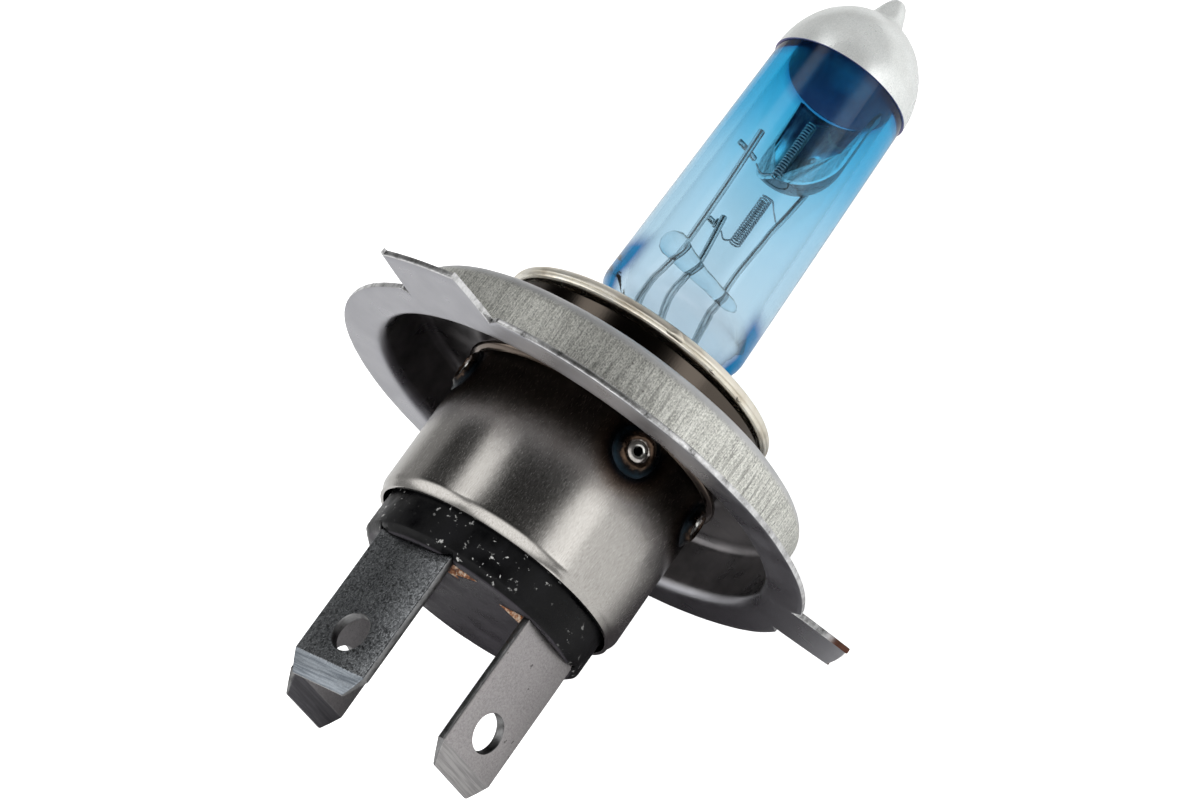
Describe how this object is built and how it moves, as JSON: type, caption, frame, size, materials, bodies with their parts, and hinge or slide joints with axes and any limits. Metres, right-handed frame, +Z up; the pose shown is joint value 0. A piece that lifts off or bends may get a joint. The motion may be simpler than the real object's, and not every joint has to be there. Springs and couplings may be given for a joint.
{
  "type": "headlight bulb",
  "caption": "Halogen headlight bulb with low-beam and high-beam filaments, blue-tinted glass, silver tip coating, lugged steel mounting flange and blade terminals.",
  "frame": {"origin": "centre of the reference plane, the front face of the flange's brim and lugs, on the lamp axis", "axes": "+X along the lamp axis towards the glass tip, +Z up in use (the wide lug and the open side of the shield), +Y to the left seen from the terminals"},
  "size_m": [0.0753, 0.043, 0.0474],
  "materials": {
    "flange_steel": "brushed, satin",
    "polished_nickel": "polished",
    "spring_steel": "satin",
    "barrel_steel": "satin with heat tint",
    "weld_steel": "heat-tinted",
    "black_insulator": "matte",
    "grainy_blade": "grainy tinned",
    "satin_blade": "satin tinned",
    "blue_glass": "clear blue interference tint",
    "silver_coating": "matte metallic paint",
    "clear_quartz": "clear",
    "molybdenum": "drawn wire",
    "tungsten": "coiled wire",
    "shield_metal": "bright sheet"
  },
  "bodies": {
    "root": {"mounting_flange": "flange_steel", "focusing_collar": "polished_nickel", "pinch_clip": "spring_steel", "base_barrel": "barrel_steel", "weld_eyelet_1": "weld_steel", "weld_eyelet_2": "weld_steel", "weld_eyelet_3": "weld_steel", "weld_eyelet_4": "weld_steel", "insulator_disc": "black_insulator", "terminal_top": "grainy_blade", "terminal_right": "satin_blade", "terminal_left": "satin_blade", "glass_envelope": "blue_glass", "silver_end_cap": "silver_coating", "quartz_bridge": "clear_quartz", "low_foil": "molybdenum", "high_foil": "molybdenum", "common_foil": "molybdenum", "low_wire": "molybdenum", "high_wire": "molybdenum", "common_wire": "molybdenum", "low_lead": "molybdenum", "high_lead": "molybdenum", "common_lead": "molybdenum", "low_beam_cross_pin": "molybdenum", "high_beam_cross_pin": "molybdenum", "low_beam_filament": "tungsten", "high_beam_filament": "tungsten", "low_beam_shield": "shield_metal"}
  },
  "joints": []
}
